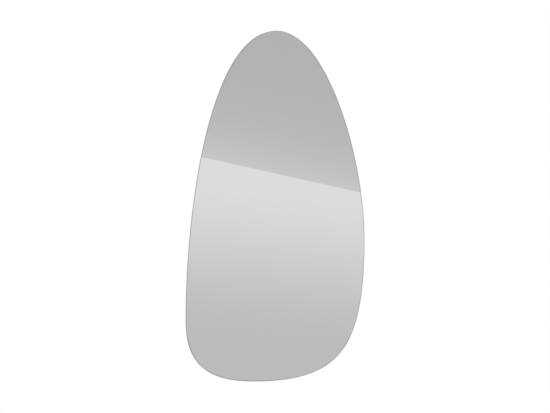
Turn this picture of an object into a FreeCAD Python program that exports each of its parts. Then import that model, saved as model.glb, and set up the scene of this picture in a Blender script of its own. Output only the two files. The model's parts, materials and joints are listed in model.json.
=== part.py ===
import FreeCAD
import Part

import os

# A frameless wall mirror with a lopsided pebble outline: glass with its coatings, the board that carries it,
# a pair of hooked hanging rails and two rubber spacers.
#
# Millimetres. Seen from the front, +X points right, +Z points up and +Y points into the wall.
# The wall's surface is y = 0. The origin is the middle of the wall rail's line of fixing holes.

# The outline of the glass, measured from its leftmost and its lowest point
GLASS_WIDTH = 510.0
GLASS_HEIGHT = 1000.0
CROWN_FROM_LEFT = 260.0  # the highest point
BELLY_HEIGHT = 405.0  # the rightmost point
FOOT_FROM_LEFT = 195.0  # the lowest point
HIP_HEIGHT = 175.0  # the leftmost point

# How strongly the outline holds its direction on each side of those four points
CROWN_REACH_RIGHT = 140.0
CROWN_REACH_LEFT = 190.0
BELLY_REACH_UP = 240.0
BELLY_REACH_DOWN = 305.0
FOOT_REACH_RIGHT = 250.0
FOOT_REACH_LEFT = 130.0
HIP_REACH_DOWN = 130.0
HIP_REACH_UP = 320.0

# Glass and the layers behind it, from front to back
GLASS_THICKNESS = 5.0
FRONT_ARRIS = 1.5  # polished at 45 degrees along the front of the rim
REAR_ARRIS = 0.5  # along its back, where the coatings end
SILVER_THICKNESS = 0.1
PAINT_THICKNESS = 0.1
FILM_THICKNESS = 0.3
FILM_INSET = 6.0  # from the rim of the glass
ADHESIVE_THICKNESS = 2.0
BOARD_THICKNESS = 12.0
BOARD_INSET = 45.0  # from the rim of the glass
BOARD_BEVEL = 5.0

# Adhesive beads and foam tape, all upright
BEAD_COUNT = 5
BEAD_WIDTH = 10.0
BEAD_SIDE_MARGIN = 60.0  # from the board's side to the outer bead's middle
BEAD_END_MARGIN = 30.0  # from the board's edge to a bead's end
TAPE_WIDTH = 19.0
TAPE_LENGTH = 150.0

# The hanging rails: two lengths of one hooked section, the upper one turned over
RAIL_HEIGHT = 700.0  # the wall rail's holes above the lowest point of the glass
RAIL_LENGTH = 240.0
RAIL_GAUGE = 2.0
RAIL_FLANGE = 20.0
RAIL_LIP = 12.0
RAIL_PLAY = 0.5  # at each face of a hooked lip
RAIL_ROUNDING = 0.4
LIP_LEAD_IN = 0.8
HOLE_RADIUS = 2.5
HOLE_SPACING = 80.0
SLOT_LENGTH = 12.0
SLOT_END_MARGIN = 20.0  # from the rail's end to the slot's middle

# Pan-head screws
SCREW_RADIUS = 2.0
SCREW_POINT = 3.0
SCREW_PLAY = 0.05
SCREW_SKIN = 2.0  # board left in front of a screw's point
HEAD_RADIUS = 4.0
HEAD_HEIGHT = 2.4
HEAD_ROUNDING = 1.5
RECESS_SPAN = 4.4
RECESS_WIDTH = 0.9
RECESS_DEPTH = 1.4

# Rubber spacers with their washers
BUMPER_SPACING = 200.0
BUMPER_HEIGHT = 150.0  # above the lowest point of the glass
BUMPER_FLOOR = 1.2
BUMPER_WALL = 4.0
BUMPER_ROUNDING = 1.2
WASHER_THICKNESS = 0.8
WASHER_RIM = 1.5  # beyond the screw's head
WASHER_PLAY = 0.2  # round the screw
RECESS_PLAY = 0.5  # round the washer

# The outline's precision: points on each of its four curves
POINTS_PER_CURVE = 16
SAME = 1e-3  # two measures that differ by less than this are the same

# Worked out from the sizes above. Places on Y are negative in front of the wall.
rail_slot = RAIL_GAUGE + 2 * RAIL_PLAY
stand_off = rail_slot + RAIL_GAUGE + RAIL_PLAY
board_back = -stand_off
board_front = board_back - BOARD_THICKNESS
film_back = board_front - ADHESIVE_THICKNESS
paint_back = film_back - FILM_THICKNESS
silver_back = paint_back - PAINT_THICKNESS
glass_back = silver_back - SILVER_THICKNESS
head_seat = board_back + RAIL_GAUGE
screw_hole_radius = SCREW_RADIUS + WASHER_PLAY
washer_radius = HEAD_RADIUS + WASHER_RIM
bumper_recess_radius = washer_radius + RECESS_PLAY
bumper_radius = bumper_recess_radius + BUMPER_WALL
web_top = RAIL_FLANGE / 2 + RAIL_GAUGE
lip_top = web_top + RAIL_LIP
board_rail_holes = web_top + lip_top  # the board rail's line of holes above the wall rail's
slot_offset = RAIL_LENGTH / 2 - SLOT_END_MARGIN
hole_offset = HOLE_SPACING / 2
bumper_z = BUMPER_HEIGHT - RAIL_HEIGHT


def outline_curves():
    """The outline's four curves, clockwise from the crown: start, first control, second control, end."""
    crown = FreeCAD.Vector(CROWN_FROM_LEFT, 0, GLASS_HEIGHT)
    belly = FreeCAD.Vector(GLASS_WIDTH, 0, BELLY_HEIGHT)
    foot = FreeCAD.Vector(FOOT_FROM_LEFT, 0, 0)
    hip = FreeCAD.Vector(0, 0, HIP_HEIGHT)
    right = FreeCAD.Vector(1, 0, 0)
    up = FreeCAD.Vector(0, 0, 1)
    return [
        (crown, crown + right * CROWN_REACH_RIGHT, belly + up * BELLY_REACH_UP, belly),
        (belly, belly - up * BELLY_REACH_DOWN, foot + right * FOOT_REACH_RIGHT, foot),
        (foot, foot - right * FOOT_REACH_LEFT, hip - up * HIP_REACH_DOWN, hip),
        (hip, hip + up * HIP_REACH_UP, crown - right * CROWN_REACH_LEFT, crown),
    ]


def outline_points(inset):
    """Points round the glass, moved in from its rim by inset, from its leftmost and lowest points."""
    points = []
    for start, first, second, end in outline_curves():
        for step in range(POINTS_PER_CURVE):
            t = step / POINTS_PER_CURVE
            s = 1 - t
            place = start * s**3 + first * (3 * s * s * t) + second * (3 * s * t * t) + end * t**3
            along = (first - start) * (s * s) + (second - first) * (2 * s * t) + (end - second) * (t * t)
            along.normalize()
            inward = FreeCAD.Vector(along.z, 0, -along.x)
            points.append(place + inward * inset)
    return points


def outline_face(inset):
    curve = Part.BSplineCurve()
    curve.interpolate(Points=outline_points(inset), PeriodicFlag=True)
    return Part.Face(Part.Wire([curve.toShape()]))


# The rails hang on the glass's plumb line, so that the mirror hangs level
balance_from_left = outline_face(0).CenterOfMass.x
to_frame = FreeCAD.Vector(-balance_from_left, 0, -RAIL_HEIGHT)


def layer(inset, back, thickness):
    """A sheet with the outline of the glass, its rear face at y = back."""
    sheet = outline_face(inset).extrude(FreeCAD.Vector(0, -thickness, 0))
    sheet.translate(to_frame + FreeCAD.Vector(0, back, 0))
    return sheet


def rim_edges(sheet, y):
    """The edges of a sheet's face at that y."""
    return [edge for edge in sheet.Edges if abs(edge.CenterOfMass.y - y) < SAME and edge.isClosed()]


def glass():
    sheet = layer(0, glass_back, GLASS_THICKNESS)
    polished = sheet.makeChamfer(FRONT_ARRIS, rim_edges(sheet, glass_back - GLASS_THICKNESS))
    return polished.makeChamfer(REAR_ARRIS, rim_edges(polished, glass_back))


def pegs(radius, length, y, places):
    """Round pegs that run from y towards the front."""
    forward = FreeCAD.Vector(0, -1, 0)
    return [Part.makeCylinder(radius, length, FreeCAD.Vector(x, y, z), forward) for x, z in places]


def rail_screw_places():
    return [(x, board_rail_holes) for x in (-slot_offset, -hole_offset, hole_offset, slot_offset)]


def bumper_places():
    return [(side * BUMPER_SPACING / 2, bumper_z) for side in (-1, 1)]


def board():
    sheet = layer(BOARD_INSET, board_back, BOARD_THICKNESS)
    bevelled = sheet.makeChamfer(BOARD_BEVEL, rim_edges(sheet, board_back))
    depth = BOARD_THICKNESS - SCREW_SKIN + SCREW_PLAY
    pilots = pegs(SCREW_RADIUS + SCREW_PLAY, depth, board_back, rail_screw_places() + bumper_places())
    return bevelled.cut(pilots)


def upright_chord(x, inset):
    """The lowest and highest z of an upright line at x inside the outline moved in by inset."""
    points = [point + to_frame for point in outline_points(inset)]
    heights = []
    for here, there in zip(points, points[1:] + points[:1]):
        if (here.x - x) * (there.x - x) <= 0 and here.x != there.x:
            share = (x - here.x) / (there.x - here.x)
            heights.append(here.z + share * (there.z - here.z))
    return min(heights), max(heights)


def bead_columns():
    """Where the beads stand, evenly spread between the board's side margins."""
    margin = BOARD_INSET + BEAD_SIDE_MARGIN
    left = margin - balance_from_left
    right = GLASS_WIDTH - margin - balance_from_left
    pitch = (right - left) / (BEAD_COUNT - 1)
    return [left + pitch * column for column in range(BEAD_COUNT)]


def upright_strip(x, low, high, width):
    """A flat strip between film and board, with square ends."""
    corner = FreeCAD.Vector(x - width / 2, film_back, low)
    return Part.makeBox(width, ADHESIVE_THICKNESS, high - low, corner)


def adhesive_bead(x):
    low, high = upright_chord(x, BOARD_INSET + BEAD_END_MARGIN)
    radius = BEAD_WIDTH / 2
    middle = upright_strip(x, low + radius, high - radius, BEAD_WIDTH)
    ends = pegs(radius, ADHESIVE_THICKNESS, board_front, [(x, low + radius), (x, high - radius)])
    return middle.fuse(ends).removeSplitter()


def mounting_tape(x, middle):
    return upright_strip(x, middle - TAPE_LENGTH / 2, middle + TAPE_LENGTH / 2, TAPE_WIDTH)


def slot_cutter(x):
    """A level slot through the flange, round at both ends."""
    straight = SLOT_LENGTH / 2 - HOLE_RADIUS
    corner = FreeCAD.Vector(x - straight, -RAIL_GAUGE, -HOLE_RADIUS)
    block = Part.makeBox(2 * straight, RAIL_GAUGE, 2 * HOLE_RADIUS, corner)
    return block.fuse(pegs(HOLE_RADIUS, RAIL_GAUGE, 0, [(x - straight, 0), (x + straight, 0)]))


def rail():
    """The wall rail: flange on the wall, web, and a lip that stands up in front of the slot."""
    flange_end = -RAIL_FLANGE / 2
    lip_front = -rail_slot - RAIL_GAUGE
    corners = [
        (0, flange_end),
        (-RAIL_GAUGE, flange_end),
        (-RAIL_GAUGE, web_top - RAIL_GAUGE),
        (lip_front, web_top - RAIL_GAUGE),
        (lip_front, lip_top),
        (-rail_slot - LIP_LEAD_IN, lip_top),
        (-rail_slot, lip_top - LIP_LEAD_IN),
        (-rail_slot, web_top),
        (0, web_top),
    ]
    section = [FreeCAD.Vector(-RAIL_LENGTH / 2, y, z) for y, z in corners]
    face = Part.Face(Part.makePolygon(section + section[:1]))
    bar = face.extrude(FreeCAD.Vector(RAIL_LENGTH, 0, 0))
    long_edges = [edge for edge in bar.Edges if abs(edge.Length - RAIL_LENGTH) < SAME]
    lower_edges = [edge for edge in long_edges if edge.CenterOfMass.z < web_top - RAIL_GAUGE / 2]
    bar = bar.makeFillet(RAIL_ROUNDING, lower_edges)
    round_holes = pegs(HOLE_RADIUS, RAIL_GAUGE, 0, [(-hole_offset, 0), (hole_offset, 0)])
    return bar.cut(round_holes + [slot_cutter(-slot_offset), slot_cutter(slot_offset)])


def rail_on_board():
    """The same rail turned over: its lip rests in the wall rail's slot."""
    turned = rail()
    turned.rotate(FreeCAD.Vector(0, 0, 0), FreeCAD.Vector(1, 0, 0), 180)
    turned.translate(FreeCAD.Vector(0, board_back, board_rail_holes))
    return turned


def cross_recess():
    """A cross, narrower at its bottom, sunk in the top of a head that faces +Y."""
    wings = []
    for angle in (45, 135):
        corner = FreeCAD.Vector(-RECESS_SPAN / 2, HEAD_HEIGHT - RECESS_DEPTH, -RECESS_WIDTH / 2)
        wing = Part.makeBox(RECESS_SPAN, RECESS_DEPTH, RECESS_WIDTH, corner)
        wing.rotate(FreeCAD.Vector(0, 0, 0), FreeCAD.Vector(0, 1, 0), angle)
        wings.append(wing)
    bottom = FreeCAD.Vector(0, HEAD_HEIGHT - RECESS_DEPTH, 0)
    taper = Part.makeCone(RECESS_SPAN / 4, RECESS_SPAN / 2, RECESS_DEPTH, bottom, FreeCAD.Vector(0, 1, 0))
    return wings[0].fuse(wings[1]).common(taper)


def screw(x, z):
    """A pan-head screw in the board. Its head sits at head_seat and its point stops short of the front."""
    back = FreeCAD.Vector(0, 1, 0)
    head = Part.makeCylinder(HEAD_RADIUS, HEAD_HEIGHT, FreeCAD.Vector(0, 0, 0), back)
    head = head.makeFillet(HEAD_ROUNDING, rim_edges(head, HEAD_HEIGHT))
    length = head_seat - board_front - SCREW_SKIN
    shank = pegs(SCREW_RADIUS, length - SCREW_POINT, 0, [(0, 0)])[0]
    point_start = FreeCAD.Vector(0, SCREW_POINT - length, 0)
    point = Part.makeCone(SCREW_RADIUS, 0, SCREW_POINT, point_start, FreeCAD.Vector(0, -1, 0))
    whole = head.cut(cross_recess()).fuse([shank, point]).removeSplitter()
    whole.translate(FreeCAD.Vector(x, head_seat, z))
    return whole


def bumper(x, z):
    """A rubber spacer, cupped towards the wall, with a hole for its screw."""
    body = pegs(bumper_radius, stand_off, 0, [(x, z)])[0]
    body = body.makeFillet(BUMPER_ROUNDING, rim_edges(body, 0))
    cup = pegs(bumper_recess_radius, stand_off - BUMPER_FLOOR, 0, [(x, z)])
    hole = pegs(screw_hole_radius, stand_off, 0, [(x, z)])
    return body.cut(cup + hole)


def washer(x, z):
    front = board_back + BUMPER_FLOOR + WASHER_THICKNESS
    disc = pegs(washer_radius, WASHER_THICKNESS, front, [(x, z)])[0]
    return disc.cut(pegs(screw_hole_radius, WASHER_THICKNESS, front, [(x, z)]))


def mirror_nodes():
    """Every node's name and shape."""
    columns = bead_columns()
    centre_height = outline_face(0).CenterOfMass.z - RAIL_HEIGHT
    nodes = {
        "mirror_glass": glass(),
        "silver_coating": layer(REAR_ARRIS, silver_back, SILVER_THICKNESS),
        "backing_paint": layer(REAR_ARRIS, paint_back, PAINT_THICKNESS),
        "safety_film": layer(FILM_INSET, film_back, FILM_THICKNESS),
        "backing_board": board(),
        "board_rail": rail_on_board(),
        "wall_rail": rail(),
        "board_rail_screws": Part.makeCompound([screw(x, z) for x, z in rail_screw_places()]),
        "bumper_screws": Part.makeCompound([screw(x, z) for x, z in bumper_places()]),
        "bumper_washers": Part.makeCompound([washer(x, z) for x, z in bumper_places()]),
    }
    for name, (x, z) in zip(("bumper_left", "bumper_right"), bumper_places()):
        nodes[name] = bumper(x, z)
    for number, x in enumerate(columns, 1):
        nodes[f"adhesive_bead_{number}"] = adhesive_bead(x)
    for number, (left, right) in enumerate(zip(columns, columns[1:]), 1):
        nodes[f"mounting_tape_{number}"] = mounting_tape((left + right) / 2, centre_height)
    return nodes


os.makedirs("parts", exist_ok=True)
for name, shape in mirror_nodes().items():
    shape.exportStep(f"parts/{name}.step")
    print(f"{name}: {len(shape.Solids)} solid(s), {shape.Volume:.0f} mm3, valid {shape.isValid()}")
print(f"balance line {balance_from_left:.2f} mm from the left, stand-off {stand_off:.2f} mm")
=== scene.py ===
import json
import math

import bmesh
import bpy
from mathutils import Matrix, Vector


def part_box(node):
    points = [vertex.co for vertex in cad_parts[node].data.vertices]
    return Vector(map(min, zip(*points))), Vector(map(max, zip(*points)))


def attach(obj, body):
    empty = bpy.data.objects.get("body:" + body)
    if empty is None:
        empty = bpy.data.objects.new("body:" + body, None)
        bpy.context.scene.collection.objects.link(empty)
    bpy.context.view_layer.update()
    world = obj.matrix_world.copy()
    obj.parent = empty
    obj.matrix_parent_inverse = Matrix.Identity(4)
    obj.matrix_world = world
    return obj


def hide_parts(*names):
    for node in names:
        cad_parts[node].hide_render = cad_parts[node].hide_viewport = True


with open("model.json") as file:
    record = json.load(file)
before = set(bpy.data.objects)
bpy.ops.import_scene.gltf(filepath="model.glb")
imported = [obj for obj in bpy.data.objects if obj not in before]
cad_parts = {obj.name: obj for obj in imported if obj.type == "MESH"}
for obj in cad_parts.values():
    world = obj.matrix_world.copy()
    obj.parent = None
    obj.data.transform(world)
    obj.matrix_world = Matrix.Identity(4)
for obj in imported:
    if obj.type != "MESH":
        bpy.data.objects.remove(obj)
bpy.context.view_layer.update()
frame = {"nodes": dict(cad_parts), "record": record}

# A frameless, pebble-shaped wall mirror. Metres, in the frame of the solids: seen from the front,
# +X points right, +Z points up and +Y points into the wall.

# The photograph's frame, and where the mirror stands in it
PHOTO_WIDTH = 550  # pixels
MIRROR_CENTRE_X = 0.05  # pixels right of the photograph's middle
MIRROR_CENTRE_Y = 0.46  # pixels above it
MIRROR_PIXELS = 351.0  # the mirror's height
LENS = 85.0  # millimetres
SENSOR = 36.0  # the sensor's width in millimetres

# What the mirror sees: a grey studio whose tone steps along straight, parallel lines that fall to
# the right. Heights are sines of the angle over the middle line.
LINE_TILT = 0.223  # fall of the lines, per unit to the right
LINE_RISE = 0.0255  # how far above the line of sight the middle one passes
LINE_SPACING = 0.30
TONE_FAR = 0.465  # brightness well above a line, where the tone over it has faded
TONE_ABOVE = 0.606  # just above a line
TONE_BELOW = 0.764  # just below a line
TONE_FADE = 0.0316  # the height in which the tone above a line falls by nearly two thirds
TONE_STEP = 0.062  # a small, quick rise a little before half way up to the next line
STEP_START = 0.36  # where it sets in and ends, as shares of the spacing
STEP_END = 0.44
RISE_START = 0.55  # where the slow rise up to the next line sets in, as such a share
RISE_TILT = 0.10  # the fall to the right of both rises
SIDES_DARK = 0.50  # brightness of the studio's sides as a share of its front, upper right
SIDES_PALE = 1.0  # and lower left
SIDES_TILT = math.radians(30)  # how far above level the darkest side lies
SIDES_BLEND = 0.4  # half the width of the change from pale to dark, as a sine
SIDES_START = 0.985  # cosines of the angle from straight ahead, between which the sides set in
SIDES_END = 0.93
WHITE_START = -0.1  # sines of the angle past the mirror's plane, between which white sets in
WHITE_END = 0.6
PLAIN_LIGHT = 0.55  # brightness of the room as a light on the object

LAMP_SIZE = 1.6
KEY_POWER = 50.0  # watts
FILL_POWER = 18.0

HANGING_HEIGHT = 0.9  # of the glass over the floor
FLOOR_RADIUS = 4.0
FLOOR_SIDES = 96
FLOOR_GREY = 0.86
FADE_START = 0.35  # where the floor starts to fade and where it is gone, as shares of its radius
FADE_END = 0.98

# The outline of the glass, from its leftmost and lowest points
CROWN_FROM_LEFT = 0.260
BELLY_HEIGHT = 0.405
FOOT_FROM_LEFT = 0.195
HIP_HEIGHT = 0.175
CROWN_REACH_RIGHT = 0.140
CROWN_REACH_LEFT = 0.190
BELLY_REACH_UP = 0.240
BELLY_REACH_DOWN = 0.305
FOOT_REACH_RIGHT = 0.250
FOOT_REACH_LEFT = 0.130
HIP_REACH_DOWN = 0.130
HIP_REACH_UP = 0.320
POINTS_PER_CURVE = 64

# The glass and its layers
FRONT_ARRIS = 0.0015
REAR_ARRIS = 0.0005
FILM_INSET = 0.006
SILVER_OVERLAP = 0.00002  # the glass runs this far into the silver, so no air shows between them
FLAT_STRIP = 1  # of the three strips of the glass's rim, the flat between the two arrises
GLASS_IOR = 1.52
GLASS_TINT = (0.72, 0.90, 0.84)
GLASS_DENSITY = 5.0  # of the tint, per metre
WEAVE_SCALE = 200.0  # puts the film's threads 1.6 mm apart

# Nearly all values of a noise texture lie between these
NOISE_LOW = 0.3
NOISE_HIGH = 0.7


# Shader helpers


def grey(level):
    return (level, level, level, 1.0)


WHITE = grey(1.0)


def new_material(name, colour, roughness, metallic=0.0):
    """A Principled material: the material, its node tree and its shader."""
    material = bpy.data.materials.new(name)
    material.use_nodes = True
    tree = material.node_tree
    shader = tree.nodes["Principled BSDF"]
    shader.inputs["Base Color"].default_value = (*colour, 1.0)
    shader.inputs["Roughness"].default_value = roughness
    shader.inputs["Metallic"].default_value = metallic
    return material, tree, shader


def place(tree, drawn_out=(1, 1, 1), turn=0.0):
    """Coordinates of a pattern drawn out along each axis and turned round Y, in the solids' frame."""
    coordinates = tree.nodes.new("ShaderNodeTexCoord")
    mapping = tree.nodes.new("ShaderNodeMapping")
    mapping.vector_type = "TEXTURE"
    mapping.inputs["Rotation"].default_value = (0.0, turn, 0.0)
    mapping.inputs["Scale"].default_value = drawn_out
    tree.links.new(coordinates.outputs["Object"], mapping.inputs["Vector"])
    return mapping.outputs["Vector"]


def noise(tree, scale, detail=4.0, drawn_out=(1, 1, 1), turn=0.0):
    texture = tree.nodes.new("ShaderNodeTexNoise")
    texture.inputs["Scale"].default_value = scale
    texture.inputs["Detail"].default_value = detail
    tree.links.new(place(tree, drawn_out, turn), texture.inputs["Vector"])
    return texture.outputs["Fac"]


def ramp(tree, value, *stops):
    """Colours a value: each stop is (position, red, green, blue)."""
    made = tree.nodes.new("ShaderNodeValToRGB")
    elements = made.color_ramp.elements
    while len(elements) < len(stops):
        elements.new(0.5)
    for element, (position, *colour) in zip(elements, stops):
        element.position = position
        element.color = (*colour, 1.0)
    tree.links.new(value, made.inputs["Fac"])
    return made.outputs["Color"]


def shade(tree, value, dark, pale, start=NOISE_LOW, end=NOISE_HIGH):
    """Colours a value from dark at the start of its range to pale at the end."""
    return ramp(tree, value, (start, *dark), (end, *pale))


def spread(tree, value, low, high, start=0.0, end=1.0, kind="LINEAR"):
    """Maps a value from start..end to low..high."""
    made = tree.nodes.new("ShaderNodeMapRange")
    made.interpolation_type = kind
    made.inputs["From Min"].default_value = start
    made.inputs["From Max"].default_value = end
    made.inputs["To Min"].default_value = low
    made.inputs["To Max"].default_value = high
    tree.links.new(value, made.inputs["Value"])
    return made.outputs["Result"]


def maths(tree, operation, first, second=0.0):
    made = tree.nodes.new("ShaderNodeMath")
    made.operation = operation
    for socket, value in zip(made.inputs, (first, second)):
        if isinstance(value, (int, float)):
            socket.default_value = value
        else:
            tree.links.new(value, socket)
    return made.outputs["Value"]


def along(tree, direction, axis):
    """How far a direction points along an axis: 1 with it, 0 across it and -1 against it."""
    made = tree.nodes.new("ShaderNodeVectorMath")
    made.operation = "DOT_PRODUCT"
    made.inputs[1].default_value = axis
    tree.links.new(direction, made.inputs[0])
    return made.outputs["Value"]


def mix_colour(tree, factor, first, second, blend="MIX"):
    made = tree.nodes.new("ShaderNodeMix")
    made.data_type = "RGBA"
    made.blend_type = blend
    for name, value in (("Factor_Float", factor), ("A_Color", first), ("B_Color", second)):
        socket = next(s for s in made.inputs if s.identifier == name)
        if isinstance(value, (int, float, tuple)):
            socket.default_value = value
        else:
            tree.links.new(value, socket)
    return next(s for s in made.outputs if s.identifier == "Result_Color")


def multiply(tree, first, second):
    return mix_colour(tree, 1.0, first, second, "MULTIPLY")


def set_colour(tree, shader, colour):
    tree.links.new(colour, shader.inputs["Base Color"])


def set_roughness(tree, shader, pattern, low, high):
    """Roughness from low to high over the range of a noise."""
    roughness = spread(tree, pattern, low, high, NOISE_LOW, NOISE_HIGH)
    tree.links.new(roughness, shader.inputs["Roughness"])


def bump(tree, shader, height, depth):
    """Roughens a shader's surface by a height map, whose full range is depth metres deep."""
    made = tree.nodes.new("ShaderNodeBump")
    made.inputs["Distance"].default_value = depth
    tree.links.new(height, made.inputs["Height"])
    tree.links.new(made.outputs["Normal"], shader.inputs["Normal"])


# Materials


def glass_material():
    material, tree, shader = new_material("float_glass", (1.0, 1.0, 1.0), roughness=0.0)
    shader.inputs["Transmission Weight"].default_value = 1.0
    shader.inputs["IOR"].default_value = GLASS_IOR
    absorption = tree.nodes.new("ShaderNodeVolumeAbsorption")
    absorption.inputs["Color"].default_value = (*GLASS_TINT, 1.0)
    absorption.inputs["Density"].default_value = GLASS_DENSITY
    tree.links.new(absorption.outputs["Volume"], tree.nodes["Material Output"].inputs["Volume"])
    return material


def rim_material():
    """The flat of the glass's rim: ground and polished, with fine lines along it."""
    material, tree, shader = new_material("ground_rim", (0.26, 0.37, 0.33), roughness=0.25)
    lines = noise(tree, 3000.0, 3.0, drawn_out=(50.0, 1.0, 50.0))
    set_colour(tree, shader, shade(tree, lines, (0.20, 0.31, 0.275), (0.31, 0.43, 0.385)))
    set_roughness(tree, shader, lines, 0.16, 0.34)
    return material


def silver_material():
    return new_material("mirror_silver", (0.958, 0.948, 0.951), roughness=0.0, metallic=1.0)[0]


def paint_material():
    """Satin backing paint, slightly uneven in tone, with a fine orange peel."""
    material, tree, shader = new_material("backing_paint", (0.20, 0.24, 0.23), roughness=0.42)
    clouds = noise(tree, 35.0)
    set_colour(tree, shader, shade(tree, clouds, (0.19, 0.23, 0.22), (0.23, 0.27, 0.26)))
    bump(tree, shader, noise(tree, 900.0, 2.0), depth=0.00006)
    return material


def threads(tree, axis):
    """Flat threads side by side along an axis, slightly uneven."""
    wave = tree.nodes.new("ShaderNodeTexWave")
    wave.bands_direction = axis
    wave.inputs["Scale"].default_value = WEAVE_SCALE
    wave.inputs["Distortion"].default_value = 0.6
    wave.inputs["Detail Scale"].default_value = 0.2
    tree.links.new(place(tree), wave.inputs["Vector"])
    return wave.outputs["Fac"]


def film_material():
    """Woven safety film: flat threads up and across, pressed into one sheet, darker where they cross."""
    material, tree, shader = new_material("safety_film", (0.62, 0.64, 0.65), roughness=0.38)
    weave = maths(tree, "MULTIPLY", threads(tree, "X"), threads(tree, "Z"))
    cloudy = shade(tree, noise(tree, 14.0), (0.56, 0.59, 0.60), (0.64, 0.66, 0.67))
    crossings = spread(tree, weave, 0.0, 0.25)
    set_colour(tree, shader, mix_colour(tree, crossings, cloudy, (0.42, 0.45, 0.46, 1.0)))
    bump(tree, shader, weave, depth=0.00012)
    return material


def board_material():
    """Raw fibreboard: short matted fibres, a few dark flecks and faint clouds, darker where cut."""
    material, tree, shader = new_material("fibreboard", (0.46, 0.32, 0.20), roughness=0.82)
    first, second, third = [
        noise(tree, 1300.0, drawn_out=(1.0, 1.0, 4.0), turn=math.radians(angle))
        for angle in (15, 80, 140)
    ]
    fibres = maths(tree, "ADD", maths(tree, "ADD", first, second), third)
    fibres = maths(tree, "DIVIDE", fibres, 3.0)
    # The mean of three noises keeps closer to 0.5 than each of them.
    dark, middle, pale = (0.33, 0.215, 0.125), (0.46, 0.32, 0.20), (0.55, 0.40, 0.265)
    face = ramp(tree, fibres, (0.39, *dark), (0.5, *middle), (0.61, *pale))
    flecks = spread(tree, noise(tree, 1800.0, 2.0), 0.0, 0.6, start=0.66, end=0.74)
    face = mix_colour(tree, flecks, face, (0.22, 0.13, 0.07, 1.0))
    clouds = noise(tree, 12.0, 5.0)
    clouds = shade(tree, clouds, (0.90, 0.89, 0.87), (1.0, 1.0, 1.0), start=0.35, end=0.65)
    face = multiply(tree, face, clouds)
    # The board's two faces look along Y. Its rim and its bevel are cut.
    normal = tree.nodes.new("ShaderNodeNewGeometry").outputs["Normal"]
    facing = maths(tree, "ABSOLUTE", along(tree, normal, (0.0, 1.0, 0.0)))
    edge = spread(tree, facing, 1.0, 0.0, start=0.72, end=0.95)
    cut = multiply(tree, face, (0.72, 0.65, 0.58, 1.0))
    set_colour(tree, shader, mix_colour(tree, edge, face, cut))
    bump(tree, shader, fibres, depth=0.0002)
    return material


def aluminium_material():
    """Extruded aluminium in mill finish: die lines along the rail, and a faint cloudiness."""
    middle = (0.58, 0.59, 0.60)
    material, tree, shader = new_material("extruded_aluminium", middle, 0.34, metallic=1.0)
    lines = noise(tree, 1600.0, drawn_out=(300.0, 1.0, 1.0))
    dark, pale = (0.44, 0.45, 0.46), (0.66, 0.67, 0.68)
    lined = ramp(tree, lines, (NOISE_LOW, *dark), (0.5, *middle), (NOISE_HIGH, *pale))
    clouds = noise(tree, 60.0, drawn_out=(2.5, 1.0, 1.0))
    clouds = shade(tree, clouds, (0.88, 0.88, 0.89), (1.0, 1.0, 1.0))
    set_colour(tree, shader, multiply(tree, lined, clouds))
    set_roughness(tree, shader, lines, 0.46, 0.28)
    bump(tree, shader, lines, depth=0.00006)
    return material


def zinc_material():
    """Zinc plate, with small spots that differ in tone and gloss."""
    material, tree, shader = new_material("zinc_plate", (0.66, 0.68, 0.71), 0.28, metallic=1.0)
    spots = noise(tree, 700.0, 3.0)
    set_colour(tree, shader, shade(tree, spots, (0.60, 0.62, 0.66), (0.74, 0.75, 0.76)))
    set_roughness(tree, shader, spots, 0.22, 0.38)
    return material


def rubber_material():
    """Matt black rubber with a fine moulded grain."""
    material, tree, shader = new_material("black_rubber", (0.022, 0.022, 0.023), roughness=0.7)
    grain = noise(tree, 1500.0)
    set_colour(tree, shader, shade(tree, grain, (0.016, 0.016, 0.017), (0.034, 0.034, 0.035)))
    bump(tree, shader, grain, depth=0.00008)
    return material


def adhesive_material():
    """Cured adhesive, pale grey, with shallow ripples drawn out along the upright beads."""
    material, tree, shader = new_material("cured_adhesive", (0.55, 0.54, 0.50), roughness=0.45)
    ripples = noise(tree, 120.0, 3.0, drawn_out=(1.0, 1.0, 2.5))
    set_colour(tree, shader, shade(tree, ripples, (0.50, 0.49, 0.45), (0.60, 0.59, 0.55)))
    bump(tree, shader, ripples, depth=0.0003)
    return material


def foam_material():
    """White foam with small pores, with painted shade darkening the middle of each pore."""
    material, tree, shader = new_material("white_foam", (0.75, 0.75, 0.73), roughness=0.9)
    cells = tree.nodes.new("ShaderNodeTexVoronoi")
    cells.inputs["Scale"].default_value = 1600.0
    tree.links.new(place(tree), cells.inputs["Vector"])
    pores = cells.outputs["Distance"]
    # Painted shade: the colour darkens towards the middle of each pore, where the bump sinks.
    foam = shade(tree, pores, (0.62, 0.62, 0.60), (0.80, 0.80, 0.78), start=0.1, end=0.6)
    set_colour(tree, shader, foam)
    bump(tree, shader, pores, depth=0.0002)
    return material


def dress_nodes():
    """Gives every solid the material of its slot in the record."""
    materials = {
        "glass": glass_material(),
        "silver": silver_material(),
        "backing_paint": paint_material(),
        "safety_film": film_material(),
        "adhesive": adhesive_material(),
        "foam_tape": foam_material(),
        "mdf": board_material(),
        "aluminium": aluminium_material(),
        "zinc_steel": zinc_material(),
        "bumper_rubber": rubber_material(),
    }
    for part in frame["record"]["subparts"]:
        mesh = frame["nodes"][part["node"]].data
        mesh.materials.clear()
        mesh.materials.append(materials[part["material_slot"]])
    return materials


# The glass


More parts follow.
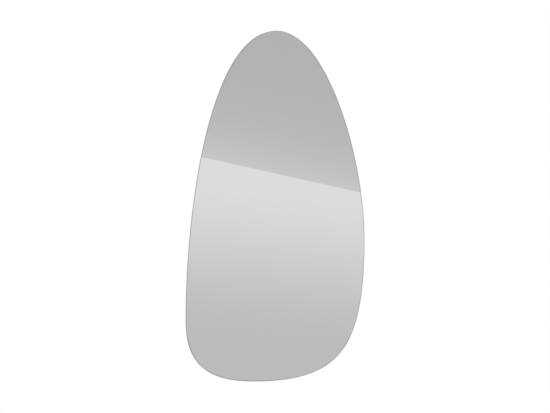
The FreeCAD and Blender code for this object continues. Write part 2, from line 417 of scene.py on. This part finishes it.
def outline_quarters(left, bottom, width, height):
    """The outline's four curves, clockwise from the crown: start, two controls, end."""
    crown = Vector((left + CROWN_FROM_LEFT, bottom + height))
    belly = Vector((left + width, bottom + BELLY_HEIGHT))
    foot = Vector((left + FOOT_FROM_LEFT, bottom))
    hip = Vector((left, bottom + HIP_HEIGHT))
    right = Vector((1, 0))
    up = Vector((0, 1))
    return [
        (crown, crown + right * CROWN_REACH_RIGHT, belly + up * BELLY_REACH_UP, belly),
        (belly, belly - up * BELLY_REACH_DOWN, foot + right * FOOT_REACH_RIGHT, foot),
        (foot, foot - right * FOOT_REACH_LEFT, hip - up * HIP_REACH_DOWN, hip),
        (hip, hip + up * HIP_REACH_UP, crown - right * CROWN_REACH_LEFT, crown),
    ]


def outline_rays(quarters):
    """Points round the outline, each with its inward direction."""
    rays = []
    for start, first, second, end in quarters:
        for step in range(POINTS_PER_CURVE):
            t = step / POINTS_PER_CURVE
            s = 1 - t
            spot = start * s**3 + first * (3 * s * s * t) + second * (3 * s * t * t) + end * t**3
            heading = (first - start) * (s * s)
            heading += (second - first) * (2 * s * t)
            heading += (end - second) * (t * t)
            heading.normalize()
            rays.append((spot, Vector((heading.y, -heading.x))))
    return rays


def glass_profile(front, back):
    """The glass's rim from front to back, a flat between two arrises: (inset, y) of each ring."""
    return [
        (FRONT_ARRIS, front),
        (0.0, front + FRONT_ARRIS),
        (0.0, back - REAR_ARRIS),
        (REAR_ARRIS, back),
    ]


def make_sheet(name, node, profile, slot, materials, ground_strip=None):
    """A sheet with the glass's outline, in place of a node: its rim runs through the profile's rings."""
    low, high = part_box("mirror_glass")
    size = high - low
    rays = outline_rays(outline_quarters(low.x, low.z, size.x, size.z))
    mesh = bmesh.new()
    rings = []
    for inset, y in profile:
        spots = [spot + inward * inset for spot, inward in rays]
        rings.append([mesh.verts.new((spot.x, y, spot.y)) for spot in spots])
    for strip, (near, far) in enumerate(zip(rings, rings[1:])):
        for i in range(len(rays)):
            face = mesh.faces.new((near[i - 1], near[i], far[i], far[i - 1]))
            face.smooth = True
            face.material_index = int(strip == ground_strip)
    for ring in rings:
        for i in range(len(rays)):
            mesh.edges.get((ring[i - 1], ring[i])).smooth = False
    mesh.faces.new(rings[0])
    mesh.faces.new(list(reversed(rings[-1])))
    bmesh.ops.recalc_face_normals(mesh, faces=mesh.faces)
    data = bpy.data.meshes.new(name)
    mesh.to_mesh(data)
    mesh.free()
    data.materials.append(materials[slot])
    if ground_strip is not None:
        data.materials.append(rim_material())
    sheet = bpy.data.objects.new(name, data)
    bpy.context.scene.collection.objects.link(sheet)
    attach(sheet, "mirror")
    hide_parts(node)


def make_sheets(materials):
    """The glass and the thin layers behind it, with an outline finer than the solids'."""
    low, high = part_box("mirror_glass")
    profile = glass_profile(low.y, high.y + SILVER_OVERLAP)
    make_sheet("polished_glass", "mirror_glass", profile, "glass", materials, FLAT_STRIP)
    for name, node, inset, slot in (
        ("silver_layer", "silver_coating", REAR_ARRIS, "silver"),
        ("paint_layer", "backing_paint", REAR_ARRIS, "backing_paint"),
        ("film_layer", "safety_film", FILM_INSET, "safety_film"),
    ):
        low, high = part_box(node)
        make_sheet(name, node, [(inset, low.y), (inset, high.y)], slot, materials)


# The studio


def height_over(tree, direction, tilt):
    """How high a direction lies over the middle line, if that falls to the right by tilt."""
    return along(tree, direction, Vector((tilt, LINE_RISE, 1.0)).normalized())


def front_tone(tree, direction):
    """The studio's front: over each line the tone fades, and then it rises up to the next."""
    height = maths(tree, "DIVIDE", height_over(tree, direction, LINE_TILT), LINE_SPACING)
    line = maths(tree, "FLOOR", height)
    over_line = maths(tree, "SUBTRACT", height, line)
    fade = maths(tree, "EXPONENT", maths(tree, "MULTIPLY", over_line, -LINE_SPACING / TONE_FADE))
    tone = spread(tree, fade, TONE_FAR, TONE_ABOVE)
    rising = maths(tree, "DIVIDE", height_over(tree, direction, RISE_TILT), LINE_SPACING)
    rising = maths(tree, "SUBTRACT", rising, line)
    tone = maths(tree, "ADD", tone, spread(tree, rising, 0.0, TONE_STEP, STEP_START, STEP_END))
    rest = TONE_BELOW - TONE_FAR - TONE_STEP
    return maths(tree, "ADD", tone, spread(tree, rising, 0.0, rest, RISE_START, 1.0, "SMOOTHSTEP"))


def room_tone(tree, direction):
    """The studio all round: its lined front, sides that darken to the upper right, a white back."""
    front = front_tone(tree, direction)
    depth = along(tree, direction, (0.0, 1.0, 0.0))
    to_dark = along(tree, direction, (math.cos(SIDES_TILT), 0.0, math.sin(SIDES_TILT)))
    level = spread(tree, to_dark, SIDES_PALE, SIDES_DARK, -SIDES_BLEND, SIDES_BLEND)
    aside = spread(tree, depth, 0.0, 1.0, -SIDES_START, -SIDES_END, "SMOOTHSTEP")
    sides = mix_colour(tree, aside, front, multiply(tree, front, level))
    return mix_colour(tree, spread(tree, depth, 0.0, 1.0, WHITE_START, WHITE_END), sides, WHITE)


def make_world():
    """White to the camera, plain light for the object, and the studio for all that mirrors."""
    world = bpy.data.worlds.new("studio")
    bpy.context.scene.world = world
    world.use_nodes = True
    tree = world.node_tree
    room = room_tone(tree, tree.nodes.new("ShaderNodeTexCoord").outputs["Generated"])
    rays = tree.nodes.new("ShaderNodeLightPath").outputs
    mirrors = maths(tree, "MAXIMUM", rays["Is Glossy Ray"], rays["Is Transmission Ray"])
    seen = mix_colour(tree, mirrors, grey(PLAIN_LIGHT), room)
    seen = mix_colour(tree, rays["Is Camera Ray"], seen, WHITE)
    tree.links.new(seen, tree.nodes["Background"].inputs["Color"])


def make_lamp(name, spot, target, power, mirrored):
    data = bpy.data.lights.new(name, "AREA")
    data.size = LAMP_SIZE
    data.energy = power
    lamp = bpy.data.objects.new(name, data)
    lamp.location = spot
    lamp.rotation_euler = (target - Vector(spot)).to_track_quat("-Z", "Y").to_euler()
    lamp.visible_camera = False
    lamp.visible_glossy = mirrored
    lamp.visible_transmission = mirrored
    bpy.context.scene.collection.objects.link(lamp)


def make_lamps(target):
    """A key and a fill on either side. The mirror doesn't show the two in front of it."""
    make_lamp("front_key", (-1.9, -2.6, 1.5), target, KEY_POWER, mirrored=False)
    make_lamp("front_fill", (2.3, -2.2, 0.6), target, FILL_POWER, mirrored=False)
    make_lamp("back_key", (1.7, 2.6, 1.5), target, KEY_POWER, mirrored=True)
    make_lamp("back_fill", (-2.2, 2.2, 0.6), target, FILL_POWER, mirrored=True)


def make_floor(height):
    """A pale floor that fades out before it can show an edge."""
    mesh = bmesh.new()
    bmesh.ops.create_circle(mesh, cap_ends=True, segments=FLOOR_SIDES, radius=FLOOR_RADIUS)
    data = bpy.data.meshes.new("floor")
    mesh.to_mesh(data)
    mesh.free()
    floor = bpy.data.objects.new("floor", data)
    floor.location.z = height
    bpy.context.scene.collection.objects.link(floor)
    material, tree, shader = new_material("pale_floor", (FLOOR_GREY,) * 3, roughness=0.9)
    radius = tree.nodes.new("ShaderNodeVectorMath")
    radius.operation = "LENGTH"
    tree.links.new(place(tree), radius.inputs[0])
    start, end = FADE_START * FLOOR_RADIUS, FADE_END * FLOOR_RADIUS
    fade = spread(tree, radius.outputs["Value"], 1.0, 0.0, start, end)
    tree.links.new(fade, shader.inputs["Alpha"])
    data.materials.append(material)


def make_camera(low, high):
    """Square on, as the photograph: the mirror has its place and height in pixels there."""
    pixels_per_metre = MIRROR_PIXELS / (high.z - low.z)
    focal_pixels = LENS / SENSOR * PHOTO_WIDTH
    data = bpy.data.cameras.new("camera")
    data.lens = LENS
    data.sensor_width = SENSOR
    camera = bpy.data.objects.new("camera", data)
    middle = (low + high) / 2
    camera.location = (
        middle.x - MIRROR_CENTRE_X / pixels_per_metre,
        low.y - focal_pixels / pixels_per_metre,
        middle.z - MIRROR_CENTRE_Y / pixels_per_metre,
    )
    camera.rotation_euler = (math.pi / 2, 0, 0)
    bpy.context.scene.collection.objects.link(camera)
    bpy.context.scene.camera = camera


make_sheets(dress_nodes())
glass_low, glass_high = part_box("mirror_glass")
make_world()
make_lamps((glass_low + glass_high) / 2)
make_floor(glass_low.z - HANGING_HEIGHT)
make_camera(glass_low, glass_high)
bpy.context.scene.view_settings.view_transform = "Standard"
